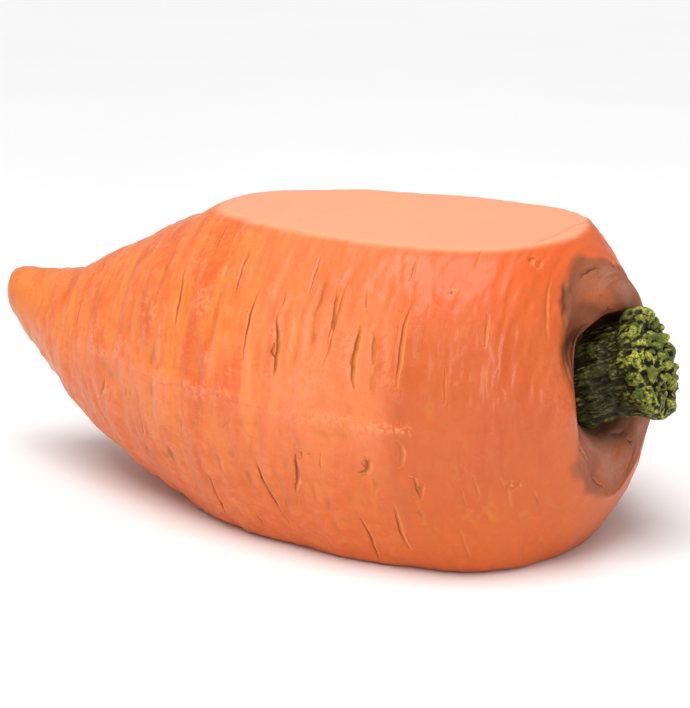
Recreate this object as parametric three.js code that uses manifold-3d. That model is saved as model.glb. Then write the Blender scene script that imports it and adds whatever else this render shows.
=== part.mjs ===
// A bench seat in the shape of a carrot lying on its side: a painted glass fibre shell moulded in two
// halves, stiffened by plywood inside, with a cast stub of cut leaf stalks set into its crown.
// Millimetres, +Z up, +X from the tip to the crown, origin under the middle of the whole length.
import * as THREE from 'three';
import { mergeVertices } from 'three/addons/utils/BufferGeometryUtils.js';
import Module from 'manifold-3d';

const wasm = await Module();
wasm.setup();

// Driving dimensions of the body
const bodyLength = 983; // tip to the foremost ridge of the crown
const bodyWidth = 546; // across the fattest section
const seatHeight = 430; // floor to the sitting surface
const seatCut = 65; // how much of the round body is missing above the seat
const footCut = 99; // how much of it is missing under the floor
const partingHeight = 214; // floor to the joint between the two shells
const shellWall = 6; // glass fibre laminate

// Pieces inside
const bondGap = 0.4; // clearance between pieces that are glued or rest on each other
const jointStripWidth = 70; // strip that bridges the parting joint inside
const jointStripThickness = 3;
const seatBoardThickness = 15;
const ribThickness = 15;
const ribShares = [0.57, 0.814]; // tip to the middle of each rib, as a share of the body's length
const handHoleRadius = 85; // lets an arm reach the nut behind the crown

// Opening in the foot and the board that closes it
const openingLength = 380;
const openingWidth = 220;
const openingCornerRadius = 40;
const boardClearance = 2; // all round, between the board and the opening
const baseBoardThickness = 12;
const baseBoardRecess = 1.5; // the board stays this far above the floor
const boardScrewOffsets = [-80, 0, 80]; // across the body, into each rib

// Countersunk wood screws
const screwShankRadius = 2.2;
const screwHeadRadius = 4.5;
const screwHeadHeight = 3;
const screwLength = 40;
const screwClearance = 0.4;

// Stub of leaf stalks
const stubLength = 110; // foot of the stub to the middle of its end face
const stubLean = 18; // degrees that it leans up
const stubTurn = 10; // degrees that it turns to +Y
const stubNeckRadius = 61;
const stubEndRadius = 79;
const stalkCount = 11; // grooves round the stub
const grooveDepth = 5;
const budRadius = 13;
const budRings = [[1, 0], [6, 0.42], [10, 0.76]]; // how many buds, and how far out as a share of the end radius

// Stud, washer and nut that hold the stub
const studRadius = 5;
const studInStub = 45;
const studInside = 32;
const studClearance = 0.5;
const washerRadius = 20;
const washerThickness = 3;
const nutRadius = 9;
const nutHeight = 8;

// How finely curved surfaces are divided
const aroundSteps = 36;
const stepsPerStation = 2;

// The round body before the seat and the foot are cut flat
const bodyRadius = (seatHeight + seatCut + footCut) / 2;
const axisHeight = bodyRadius - footCut;

// Outline of the body from the tip to the floor of the hollow in the crown: share of the length, share
// of the radius, and how far the middle of the section lies above the axis, as a share of the radius.
const stations = [
  [0, 0, 0.25],
  [0.006, 0.108, 0.178],
  [0.03, 0.162, 0.141],
  [0.081, 0.246, 0.057],
  [0.161, 0.407, 0],
  [0.282, 0.606, -0.02],
  [0.423, 0.828, 0.007],
  [0.585, 0.966, 0],
  [0.746, 1, 0.003],
  [0.887, 0.896, 0.013],
  [0.973, 0.607, 0.015],
  [1, 0.44, 0.035],
  [0.985, 0.33, 0.09],
  [0.96, 0.25, 0.12],
  [0.948, 0, 0.12],
];
const hollowFloor = stations[stations.length - 1];
const crownRidge = stations.find(([along]) => along === 1);
const stubHeight = axisHeight + hollowFloor[2] * bodyRadius;
const stubStart = hollowFloor[0] * bodyLength + bondGap;
const ribPlaces = ribShares.map(share => share * bodyLength);

const glassFibreOrange = new THREE.MeshStandardMaterial({ color: 0xe8793c, roughness: 0.35, metalness: 0 });
const glassFibreInside = new THREE.MeshStandardMaterial({ color: 0xcdbf9a, roughness: 0.6, metalness: 0 });
const plywood = new THREE.MeshStandardMaterial({ color: 0xc9a56f, roughness: 0.75, metalness: 0 });
const stalkGreen = new THREE.MeshStandardMaterial({ color: 0x4b5a1f, roughness: 0.6, metalness: 0 });
const zincSteel = new THREE.MeshStandardMaterial({ color: 0xb5b8ba, roughness: 0.35, metalness: 1 });

// A closed three.js geometry as a solid that can be cut and joined.
function solidOf(geometry) {
  const bare = geometry.clone();
  bare.deleteAttribute('normal');
  bare.deleteAttribute('uv');
  const merged = mergeVertices(bare, 1e-3);
  const vertProperties = new Float32Array(merged.attributes.position.array);
  const triVerts = new Uint32Array(merged.index.array);
  return new wasm.Manifold(new wasm.Mesh({ numProp: 3, vertProperties, triVerts }));
}

function geometryOf(solid) {
  const { vertProperties, triVerts } = solid.getMesh();
  const geometry = new THREE.BufferGeometry();
  geometry.setAttribute('position', new THREE.BufferAttribute(vertProperties, 3));
  geometry.setIndex(new THREE.BufferAttribute(triVerts, 1));
  geometry.computeVertexNormals();
  return geometry;
}

// A box from its lowest and highest corners.
function block(low, high) {
  const size = high.map((value, i) => value - low[i]);
  const middle = high.map((value, i) => (value + low[i]) / 2);
  return solidOf(new THREE.BoxGeometry(...size).translate(...middle));
}

// The stalks' stub, with its foot at the origin: a neck that widens to a rough end, grooved between the
// stalks, with knobbly buds. It leans, and its foot runs on below the skin that it will stand on.
function stubBlank() {
  const lean = THREE.MathUtils.degToRad(stubLean);
  const foot = -stubNeckRadius * Math.sin(lean) * 1.5;
  const profile = new THREE.SplineCurve([
    new THREE.Vector2(stubNeckRadius, foot),
    new THREE.Vector2(stubNeckRadius, stubLength * 0.2),
    new THREE.Vector2(stubNeckRadius * 1.03, stubLength * 0.5),
    new THREE.Vector2(stubEndRadius, stubLength * 0.85),
    new THREE.Vector2(stubEndRadius * 0.94, stubLength * 0.98),
  ]).getPoints(6);
  const ends = [new THREE.Vector2(0, foot), ...profile, new THREE.Vector2(0, stubLength)];
  const geometry = new THREE.LatheGeometry(ends, stalkCount * 4);
  const { position } = geometry.attributes;
  for (let i = 0; i < position.count; i++) {
    const radius = Math.hypot(position.getX(i), position.getZ(i));
    const turn = Math.atan2(position.getX(i), position.getZ(i));
    const share = radius < 1 ? 1 : 1 - grooveDepth / radius * (0.5 - 0.5 * Math.cos(turn * stalkCount));
    position.setX(i, position.getX(i) * share);
    position.setZ(i, position.getZ(i) * share);
  }
  let blank = solidOf(geometry.rotateX(Math.PI / 2));
  budRings.forEach(([count, spread], ring) => {
    for (let k = 0; k < count; k++) {
      const turn = (k + ring / 3) / count * 2 * Math.PI;
      const bud = new THREE.SphereGeometry(budRadius, 8, 5).scale(1, 1, 1.2).translate(
        spread * stubEndRadius * Math.cos(turn),
        spread * stubEndRadius * Math.sin(turn),
        stubLength - budRadius * 0.6,
      );
      blank = blank.add(solidOf(bud));
    }
  });
  return blank.rotate([0, 90 - stubLean, stubTurn]);
}

const leaningStub = stubBlank();
const wholeLength = stubStart + leaningStub.boundingBox().max[0];
const floorX = along => along - wholeLength / 2;

// The whole object's reach, with room to spare, for slabs that cut right through it.
const reach = bodyLength + bodyWidth + seatHeight;
const slab = (lowZ, highZ) => block([-reach, -reach, lowZ], [reach, reach, highZ]);

// Points of the outline, each with the direction that faces out of the body. A mirrored point beyond
// each end keeps the surface square to the axis there.
function outline() {
  const points = stations.map(([along, radius, rise]) => new THREE.Vector3(
    along * bodyLength,
    radius * bodyRadius,
    axisHeight + rise * bodyRadius,
  ));
  const mirrored = point => new THREE.Vector3(point.x, -point.y, point.z);
  const last = points.length - 1;
  const curve = new THREE.CatmullRomCurve3([mirrored(points[1]), ...points, mirrored(points[last - 1])]);
  const steps = last * stepsPerStation;
  const rows = [];
  for (let i = 0; i <= steps; i++) {
    const t = (1 + i / stepsPerStation) / (last + 2);
    const point = curve.getPoint(t);
    const slope = curve.getTangent(t);
    const run = Math.hypot(slope.x, slope.y);
    rows.push({
      along: point.x,
      radius: i === 0 || i === steps ? 0 : point.y,
      height: point.z,
      outAlong: i === 0 ? -1 : i === steps ? 1 : -slope.y / run,
      outRadius: i === 0 || i === steps ? 0 : slope.x / run,
    });
  }
  return rows;
}

const outlineRows = outline();

// The carrot's body, drawn in from its true surface by the inset, with a flat seat and a flat foot.
function carrotBody(inset) {
  const steps = outlineRows.length - 1;
  const geometry = new THREE.SphereGeometry(1, aroundSteps, steps);
  const { position, uv } = geometry.attributes;
  for (let i = 0; i < position.count; i++) {
    const row = outlineRows[Math.round(uv.getY(i) * steps)];
    const turn = Math.round(uv.getX(i) * aroundSteps) / aroundSteps * 2 * Math.PI;
    const halfWidth = Math.max(row.radius / bodyRadius * bodyWidth / 2 - inset * row.outRadius, 0);
    const halfHeight = Math.max(row.radius - inset * row.outRadius, 0);
    position.setXYZ(
      i,
      floorX(row.along - inset * row.outAlong),
      halfWidth * Math.sin(turn),
      row.height - halfHeight * Math.cos(turn),
    );
  }
  return solidOf(geometry).intersect(slab(inset, seatHeight - inset));
}

// An upright cylinder, or one along the body when turned.
function rod(radius, from, to, sides = 24) {
  return new THREE.CylinderGeometry(radius, radius, to - from, sides)
    .rotateX(Math.PI / 2)
    .translate(0, 0, (from + to) / 2);
}

// Turns a shape that stands along +Z to lie along +X at the stub's height.
function onStubAxis(geometry, along) {
  return geometry.rotateY(Math.PI / 2).translate(floorX(along), 0, stubHeight);
}

function footOpening(clearance, lowZ, highZ) {
  const halfLength = openingLength / 2 - clearance;
  const halfWidth = openingWidth / 2 - clearance;
  const corner = openingCornerRadius - clearance;
  const shape = new THREE.Shape();
  shape.absarc(halfLength - corner, halfWidth - corner, corner, 0, Math.PI / 2);
  shape.absarc(corner - halfLength, halfWidth - corner, corner, Math.PI / 2, Math.PI);
  shape.absarc(corner - halfLength, corner - halfWidth, corner, Math.PI, Math.PI * 1.5);
  shape.absarc(halfLength - corner, corner - halfWidth, corner, Math.PI * 1.5, Math.PI * 2);
  const middle = (ribPlaces[0] + ribPlaces[1]) / 2;
  const geometry = new THREE.ExtrudeGeometry(shape, {
    depth: highZ - lowZ,
    bevelEnabled: false,
    curveSegments: 6,
  });
  return solidOf(geometry.translate(floorX(middle), 0, lowZ));
}

// A countersunk screw standing on its head, grown by the clearance where it is used as a cutter.
function screw(clearance) {
  const shank = screwShankRadius + clearance;
  const head = screwHeadRadius + clearance;
  const taper = screwHeadHeight;
  const profile = [
    new THREE.Vector2(0, -clearance),
    new THREE.Vector2(head, -clearance),
    new THREE.Vector2(head, 0),
    new THREE.Vector2(shank, taper),
    new THREE.Vector2(shank, screwLength - taper),
    new THREE.Vector2(0, screwLength + clearance),
  ];
  if (clearance === 0) profile.splice(2, 1);
  return new THREE.LatheGeometry(profile, 12).rotateX(Math.PI / 2);
}

const screwPlaces = ribPlaces.flatMap(along => boardScrewOffsets.map(across => [along, across]));
const screwHeight = baseBoardRecess + 0.5; // heads sit just under the face of the board

const studFrom = stubStart - shellWall - studInside;
const studTo = stubStart + studInStub;
const studHole = solidOf(onStubAxis(rod(studRadius + studClearance, 0, studTo - studFrom + 1), studFrom));
const shell = carrotBody(0).subtract(carrotBody(shellWall)).subtract(studHole);
const boardTop = seatHeight - shellWall - bondGap;
const boardBottom = boardTop - seatBoardThickness;
const baseTop = baseBoardRecess + baseBoardThickness;
const insideShell = carrotBody(shellWall + bondGap);
const insideStrip = carrotBody(shellWall + jointStripThickness + 2 * bondGap);

function screwCutters() {
  return screwPlaces.map(([along, across]) => solidOf(
    screw(screwClearance).translate(floorX(along), across, screwHeight),
  ));
}

const withoutScrews = solid => screwCutters().reduce((left, cutter) => left.subtract(cutter), solid);

function ribSolid(along) {
  const low = [floorX(along - ribThickness / 2), -reach, baseTop + bondGap];
  const high = [floorX(along + ribThickness / 2), reach, boardBottom - bondGap];
  const hole = rod(handHoleRadius, -ribThickness, ribThickness)
    .rotateY(Math.PI / 2)
    .translate(floorX(along), 0, axisHeight);
  return withoutScrews(insideStrip.intersect(block(low, high)).subtract(solidOf(hole)));
}

// The strip follows the joint round the tip and both sides, and ends at the ridge of the crown.
function jointStripSolid() {
  const inner = carrotBody(shellWall + jointStripThickness + bondGap);
  const low = partingHeight - jointStripWidth / 2;
  const hollow = solidOf(onStubAxis(rod(crownRidge[1] * bodyRadius, -reach, reach), crownRidge[0] * bodyLength));
  const crownEnd = block([floorX(studFrom), -reach, 0], [reach, reach, seatHeight]);
  return insideShell
    .subtract(inner)
    .intersect(slab(low, low + jointStripWidth))
    .subtract(hollow.intersect(crownEnd));
}

function washerSolid() {
  const face = stubStart - shellWall - 2 * bondGap;
  const ring = [
    new THREE.Vector2(studRadius + studClearance, -washerThickness),
    new THREE.Vector2(washerRadius, -washerThickness),
    new THREE.Vector2(washerRadius, 0),
    new THREE.Vector2(studRadius + studClearance, 0),
    new THREE.Vector2(studRadius + studClearance, -washerThickness),
  ];
  return solidOf(onStubAxis(new THREE.LatheGeometry(ring, 24).rotateX(Math.PI / 2), face));
}

function nutSolid() {
  const face = stubStart - shellWall - 3 * bondGap - washerThickness;
  const body = solidOf(onStubAxis(rod(nutRadius, -nutHeight, 0, 6), face));
  return body.subtract(studHole);
}

const bench = new THREE.Group();

function addPiece(name, shape, material, parent = bench) {
  const geometry = shape.isBufferGeometry ? shape : geometryOf(shape);
  const mesh = new THREE.Mesh(geometry, material);
  mesh.name = name;
  parent.add(mesh);
  return mesh;
}

const parting = bondGap / 2;
const footHole = footOpening(0, -shellWall, shellWall * 2);
addPiece('upper_shell', shell.intersect(slab(partingHeight + parting, reach)), glassFibreOrange);
addPiece(
  'lower_shell',
  shell.intersect(slab(-reach, partingHeight - parting)).subtract(footHole),
  glassFibreOrange,
);
addPiece('joint_strip', jointStripSolid(), glassFibreInside);
addPiece('seat_board', insideShell.intersect(slab(boardBottom, boardTop)), plywood);
addPiece('front_rib', ribSolid(ribPlaces[0]), plywood);
addPiece('crown_rib', ribSolid(ribPlaces[1]), plywood);
addPiece('base_board', withoutScrews(footOpening(boardClearance, baseBoardRecess, baseTop)), plywood);

const baseScrews = new THREE.Group();
bench.add(baseScrews);
screwPlaces.forEach(([along, across], i) => {
  const piece = addPiece('base_screw_' + (i + 1), screw(0), zincSteel, baseScrews);
  piece.position.set(floorX(along), across, screwHeight);
});

addPiece(
  'stalk_stub',
  leaningStub.translate([floorX(stubStart), 0, stubHeight]).subtract(carrotBody(-bondGap)).subtract(studHole),
  stalkGreen,
);
addPiece('stub_stud', onStubAxis(rod(studRadius, 0, studTo - studFrom), studFrom), zincSteel);
addPiece('stub_washer', washerSolid(), zincSteel);
addPiece('stub_nut', nutSolid(), zincSteel);

export default bench;
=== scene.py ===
import math

import bpy
import numpy as np
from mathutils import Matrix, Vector, kdtree


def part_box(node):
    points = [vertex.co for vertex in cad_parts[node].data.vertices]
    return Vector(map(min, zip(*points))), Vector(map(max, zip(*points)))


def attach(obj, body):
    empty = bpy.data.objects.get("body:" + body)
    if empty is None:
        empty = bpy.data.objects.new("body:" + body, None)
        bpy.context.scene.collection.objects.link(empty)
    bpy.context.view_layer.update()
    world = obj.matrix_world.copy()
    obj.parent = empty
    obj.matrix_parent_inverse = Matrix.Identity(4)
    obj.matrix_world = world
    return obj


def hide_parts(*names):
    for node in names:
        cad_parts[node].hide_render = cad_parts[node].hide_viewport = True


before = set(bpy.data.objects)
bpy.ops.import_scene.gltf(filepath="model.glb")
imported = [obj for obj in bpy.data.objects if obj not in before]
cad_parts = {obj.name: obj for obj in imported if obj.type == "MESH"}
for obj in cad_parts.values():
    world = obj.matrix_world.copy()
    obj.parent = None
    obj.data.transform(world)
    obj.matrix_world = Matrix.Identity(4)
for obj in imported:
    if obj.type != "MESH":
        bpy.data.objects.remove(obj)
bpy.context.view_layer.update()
print("frame loaded")

mm = 0.001

# sizes that every piece shares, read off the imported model
shellLow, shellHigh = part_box("upper_shell")
bellyLow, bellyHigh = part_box("lower_shell")
openLow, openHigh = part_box("base_board")
bodyLength = (shellHigh.x - shellLow.x) / mm
bodyWidth = (bellyHigh.y - bellyLow.y) / mm
seatHeight = shellHigh.z / mm
jointHeight = (shellLow.z + bellyHigh.z) / 2 / mm
tipX = shellLow.x / mm

body = {
    "radius": 0.6907 * seatHeight,  # half height before the seat and foot are cut
    "axis": 0.4605 * seatHeight,
    "edge": 5,  # softness of the edges round seat and foot
    "wall": 6,
    "sharpAngle": 55,
    "rows": 610,
    "columns": 298,
    # share of the length, share of the radius, rise of the middle as a share of the radius
    "stations": [
        (0, 0, 0.25), (0.006, 0.108, 0.178), (0.03, 0.162, 0.141), (0.081, 0.246, 0.057),
        (0.161, 0.407, 0), (0.282, 0.606, -0.02), (0.423, 0.828, 0.007), (0.585, 0.966, 0),
        (0.746, 1, 0.003), (0.887, 0.896, 0.013), (0.973, 0.607, 0.015), (1, 0.44, 0.035),
        (0.985, 0.33, 0.09), (0.96, 0.25, 0.12), (0.948, 0, 0.12),
    ],
    # broad swellings and hollows: along, angle from the top, reach along, reach round, height
    "lumps": [
        (130, 0, 34, 40, -5), (350, 0, 38, 30, -5), (235, 0, 30, 50, 1.5), (38, 0, 16, 60, -2),
        (120, 128, 45, 26, -4), (330, 138, 60, 22, -3.5), (450, 20, 30, 18, 2),
        (690, 62, 60, 30, 2.5), (575, 96, 50, 25, -2), (860, 120, 40, 30, 2), (905, 45, 26, 30, 3),
        (520, -60, 60, 40, 3), (700, -110, 70, 35, -3), (300, -70, 50, 40, -3), (840, -40, 45, 30, 3),
    ],
}
stubHeight = body["axis"] + body["stations"][-1][2] * body["radius"]
stubFoot = body["stations"][-1][0] * bodyLength


def smooth(low, high, value):
    share = np.clip((value - low) / (high - low), 0, 1)
    return share * share * (3 - 2 * share)


def band(rise, full, fall, gone, value):
    return smooth(rise, full, value) * (1 - smooth(fall, gone, value))


def bell(value, middle, width):
    return np.exp(-((value - middle) / width) ** 2)


def turnFrom(angle, middle):
    return (angle - middle + 180) % 360 - 180


def softNoise(points, seed):
    # smooth random values from -1 to 1, one knot per unit
    table = np.random.default_rng(seed).uniform(-1, 1, (32, 32, 32))
    cell = np.floor(points).astype(int)
    part = points - cell
    part = part * part * part * (part * (part * 6 - 15) + 10)
    total = 0
    for corner in range(8):
        step = np.array([corner & 1, corner >> 1 & 1, corner >> 2 & 1])
        weight = np.prod(np.where(step == 1, part, 1 - part), axis=-1)
        spot = (cell + step) % 32
        total = total + weight * table[spot[..., 0], spot[..., 1], spot[..., 2]]
    return total


def roughness(points, seed, octaves=3):
    total = 0
    for octave in range(octaves):
        total = total + softNoise(points * 2.03 ** octave + 7.7 * octave, seed + octave) / 1.8 ** octave
    return total


def curveThrough(stations, steps):
    # centripetal Catmull-Rom, with a mirrored point beyond each end so that it meets the axis square
    turnOver = np.array([1, -1, 1])
    points = np.vstack([stations[1] * turnOver, stations, stations[-2] * turnOver])
    place = np.linspace(0, len(stations) - 1, steps)
    index = np.minimum(place.astype(int), len(stations) - 2)
    share = (place - index)[:, None]
    before, start, end, after = (points[index + k] for k in range(4))

    def gap(a, b):
        return np.sqrt(np.linalg.norm(b - a, axis=1))[:, None]

    first, second, third = gap(before, start), gap(start, end), gap(end, after)
    leave = (start - before) / first - (end - before) / (first + second) + (end - start) / second
    arrive = (end - start) / second - (after - start) / (second + third) + (after - end) / third
    leave, arrive = leave * second, arrive * second
    bend = -3 * start + 3 * end - 2 * leave - arrive
    twist = 2 * start - 2 * end + leave + arrive
    return start + leave * share + bend * share ** 2 + twist * share ** 3


def blurred(field, rounds):
    # the first axis has ends, the second goes round
    for _ in range(rounds):
        padded = np.vstack([field[:1], field, field[-1:]])
        field = (padded[:-2] + padded[2:] + np.roll(field, 1, 1) + np.roll(field, -1, 1) + 2 * field) / 6
    return field


def bodyOutline(rows, inset=0):
    stations = np.array(body["stations"]) * [bodyLength, body["radius"], body["radius"]]
    stations[:, 2] += body["axis"]
    fine = curveThrough(stations, 6000)
    run = np.r_[0, np.cumsum(np.hypot(*np.diff(fine[:, :2], axis=0).T))]
    even = np.linspace(0, run[-1], rows + 2)
    line = np.stack([np.interp(even, run, fine[:, k]) for k in range(3)], 1)
    slope = np.gradient(line[:, :2], axis=0)
    slope /= np.linalg.norm(slope, axis=1)[:, None]
    line[:, 0] += inset * slope[:, 1]
    line[:, 1] -= inset * slope[:, 0]
    line[[0, -1], 1] = 0
    return line


def spreadAngles(columns):
    # columns lie closer together where the seat and the foot turn into the sides
    fine = np.linspace(0, 360, 3601)
    dense = np.ones_like(fine)
    for edge in (30, 330, 140, 220):
        dense += 1.1 * bell(fine, edge, 14)
    run = np.r_[0, np.cumsum((dense[1:] + dense[:-1]) / 2)]
    return np.interp(np.arange(columns) / columns * run[-1], run, fine)


def flatten(height, edge):
    # soft planes at the seat and at the floor
    height = -edge * np.logaddexp(-height / edge, -seatHeight / edge)
    return edge * np.logaddexp(height / edge, 0)


def gridMesh(name, first, grid, last, attributes):
    # a closed skin from rings of points and one point at each end
    rows, columns = grid.shape[:2]
    points = np.vstack([[first], grid.reshape(-1, 3), [last]]) * mm
    ring = np.arange(columns)
    following = (ring + 1) % columns
    starts = 1 + np.arange(rows - 1)[:, None] * columns
    below = starts + columns
    quads = np.stack([starts + ring, below + ring, below + following, starts + following], -1)
    tip = np.stack([0 * ring, 1 + ring, 1 + following], 1)
    base = 1 + (rows - 1) * columns
    end = np.stack([0 * ring + len(points) - 1, base + following, base + ring], 1)
    return meshPiece(name, points, quads.reshape(-1, 4), np.vstack([tip, end]), attributes)


def meshPiece(name, points, quads, triangles=(), attributes=None):
    mesh = bpy.data.meshes.new(name)
    triangles = np.asarray(triangles, int).reshape(-1, 3)
    corners = np.r_[quads.ravel(), triangles.ravel()]
    sizes = np.r_[np.full(len(quads), 4), np.full(len(triangles), 3)]
    mesh.vertices.add(len(points))
    mesh.vertices.foreach_set("co", points.ravel().astype(np.float32))
    mesh.loops.add(len(corners))
    mesh.loops.foreach_set("vertex_index", corners.astype(np.int32))
    mesh.polygons.add(len(sizes))
    mesh.polygons.foreach_set("loop_start", np.r_[0, np.cumsum(sizes)[:-1]].astype(np.int32))
    mesh.polygons.foreach_set("loop_total", sizes.astype(np.int32))
    mesh.update(calc_edges=True)
    setAttributes(mesh, attributes or {})
    piece = bpy.data.objects.new(name, mesh)
    bpy.context.scene.collection.objects.link(piece)
    return piece


def setAttributes(mesh, attributes):
    for name, values in attributes.items():
        kept = mesh.attributes.get(name) or mesh.attributes.new(name, "FLOAT", "POINT")
        kept.data.foreach_set("value", np.asarray(values, np.float32).ravel())


def readOut(items, key, width=1, kind=np.float32):
    values = np.zeros(len(items) * width, kind)
    items.foreach_get(key, values)
    return values.reshape(-1, width) if width > 1 else values


def pointsOf(mesh):
    return readOut(mesh.vertices, "co", 3).astype(float)


def applied(piece, kind, settings):
    modifier = piece.modifiers.new(kind, kind)
    for key, value in settings.items():
        setattr(modifier, key, value)
    bpy.context.view_layer.objects.active = piece
    bpy.ops.object.modifier_apply(modifier=modifier.name)
    return piece


def combined(piece, operation, other):
    return applied(piece, "BOOLEAN", {"object": other, "operation": operation, "solver": "MANIFOLD"})


def discard(*objects):
    for piece in objects:
        bpy.data.objects.remove(piece)


# tool cuts in the skin: along and angle from the top where each starts and ends, half width, depth, bow
cuts = [
    (62, 14, 70, 42, 1.6, 1.2, 2), (192, 54, 194, 72, 2, 1.2, 1), (268, 40, 277, 55, 1.4, 1, 2),
    (372, 37, 377, 45, 2, 1.2, 1), (418, 49, 425, 70, 2.2, 2.2, -1), (459, 30, 461, 46, 1.4, 1.2, 1),
    (355, 60, 364, 67, 1.5, 1, 1), (523, 42, 523, 58, 2.2, 2.2, -3), (560, 56, 558, 76, 2.4, 2.8, -4),
    (604, 54, 607, 62, 2, 1.6, 1), (602, 62, 609, 79, 3.4, 4.5, 3), (596, 73, 606, 70, 2.6, 3.5, 1),
    (640, 44, 642, 57, 2.2, 2, 1), (657, 53, 659, 71, 5, 2.2, 2), (682, 53, 686, 68, 2, 2.4, 2),
    (693, 60, 685, 75, 2, 1.8, 2), (697, 51, 692, 66, 3, 1.6, -2), (727, 53, 735, 59, 2.2, 2, -3),
    (729, 62, 730, 79, 3.8, 4.5, -4), (746, 63, 752, 73, 3, 2, 2), (775, 42, 778, 50, 2, 2.2, 1),
    (790, 54, 791, 78, 2.8, 3, -4), (734, 39, 738, 43, 1.6, 1, 0), (832, 49, 838, 50.5, 2.6, 3, 0),
    (843, 28, 853, 42, 1.4, 1.4, 1), (881, 52, 887, 64, 1.5, 2.2, 1), (899, 31, 905, 27, 3.2, 2.2, 1),
    (912, 26, 911, 31, 2, 1.4, 0), (927, 29, 946, 54, 1.6, 1.6, -2), (275, 90, 262, 102, 3, 1.6, 2),
    (327, 92, 322, 97, 2.4, 1.2, 0), (352, 102, 361, 118, 3, 1.8, -2), (444, 97, 441, 102, 3, 1.8, 0),
    (472, 95, 468, 99, 1.6, 1.2, 0), (483, 113, 493, 130, 2.6, 3, -2), (414, 128, 406, 124, 2, 1.2, 0),
    (446, 122, 436, 127, 1.4, 1, 0), (578, 103, 583, 111, 2.4, 3, -1), (582, 110, 600, 118, 2.8, 3, 2),
    (600, 118, 611, 123, 1.8, 1.6, 1), (642, 97, 636, 110, 3.2, 4.2, 2), (652, 96, 655, 99, 2.4, 2.2, 0),
    (665, 96, 668, 98.5, 1.8, 1.6, 0), (643, 94.5, 644, 96, 1.4, 1.4, 0), (683, 95, 684, 102, 1.8, 1.4, 0),
    (655, 102, 666, 111, 5, 2.4, 2), (739, 101, 757, 95.5, 3.6, 3.6, 3), (741, 97.5, 751, 95, 2, 1.6, 2),
    (797, 90, 799, 98, 3, 1.6, 1), (812, 99, 820, 107, 3, 3, 1), (827, 101, 821, 106, 2, 1.6, 0),
    (846, 69, 852, 81, 1.6, 2, 1), (884, 99, 889, 109, 1.3, 1.6, 1), (920, 109, 924, 104.5, 1.6, 1.6, -3),
    (921, 109.5, 930, 105, 1.6, 1.6, 3), (731, 113, 738, 131, 2.4, 2.8, 2),
    (782, 108, 790, 125, 2.4, 2.6, -2),
    (553, 121, 560, 129, 2.2, 1.8, 1), (862, 117, 862, 131, 1.6, 1.2, 1), (940, 111, 949, 131, 1.8, 1.8, 2),
    (910, 100, 921, 118, 1.5, 1, 1), (520, 96, 540, 91, 3, 1, 2), (505, 104, 512, 112, 4, 1.4, 0),
    # broad flutes
    (657, 50, 660, 74, 7, 2.6, 1), (697, 48, 684, 68, 6, 3, -4), (750, 59, 754, 79, 6.5, 3, 2),
    (616, 58, 611, 81, 6, 2.4, 2), (585, 57, 577, 72, 5, 1.6, 2), (768, 48, 779, 72, 5.5, 1.8, -3),
    (812, 52, 806, 70, 6, 1.6, 3), (838, 56, 842, 70, 5, 1.4, 0), (640, 60, 634, 78, 5, 1.6, 2),
    (540, 44, 534, 60, 5, 1.4, 2), (496, 48, 489, 70, 5, 1.3, 2), (720, 80, 726, 90, 6, 1.6, 0),
    (676, 104, 688, 124, 7, 3.2, 2), (752, 98, 764, 118, 7, 3, 2), (224, 50, 218, 96, 6, 1.6, 4),
    (600, 100, 616, 120, 6, 2.6, 3), (640, 98, 648, 114, 5, 2.4, 2), (548, 102, 560, 120, 6, 2.4, 2),
    (806, 100, 820, 118, 6, 2.2, 2), (866, 98, 878, 120, 6, 1.8, 3), (716, 104, 722, 122, 5, 2, 2),
    (300, 44, 290, 84, 7, 1.6, 5), (168, 40, 160, 98, 6, 1.4, 4), (384, 56, 374, 96, 7, 1.4, 4),
    (440, 70, 434, 104, 7, 1.3, 3), (242, 100, 262, 122, 6, 1.6, -4), (330, 104, 344, 126, 6, 1.8, -3),
    (400, 104, 412, 122, 6, 2.6, -3), (468, 104, 478, 120, 6, 2.6, -3), (128, 60, 122, 110, 5, 1.3, 3),
]

farAcross = 8.0  # a point that lies near no cut
fluteWidth = 5  # marks this wide are flutes, which keep the colour of the skin

sculpt = {
    "hiddenCuts": 110,  # more cuts on the far side, placed by the seed
    "frontCuts": 16,  # fine scratches among the others
    "scratchDepth": 0.8,
    "reach": 990,
    "seed": 41,
    # how high or deep each kind of relief is
    "ringHeight": 1.5,
    "dentDepth": 1.5,
    "strokeHeight": 1.1,
    "ridgeHeight": 0.4,
    "hummockHeight": 0.8,
    "hummockBelow": 1.3,
    "waveHeight": 2.2,
    "waveLength": 95,
    "grainHeight": 0.3,
    "fluteHeight": 2.2,
    "lineHeight": 0.5,
    "ledgeHeight": 1.3,
    "rimHeight": 1.6,
    "shoulderHeight": 1.1,
    "creaseDepth": 1.8,
    # their noise: reach along, reach across, seed, octaves
    "rings": (31, 120, 3, 3),
    "dents": (16, 24, 27, 2),
    "strokes": (9, 42, 29, 2),
    "ridges": (13, 60, 8, 2),
    "hummocks": (30, 34, 17, 3),
    "grain": (9, 9, 15, 2),
    "flutes": (24, 55, 21, 2),
    "ledgeNoise": (14, 14, 53, 2),
    "rimNoise": (10, 10, 55, 2),
}

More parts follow.
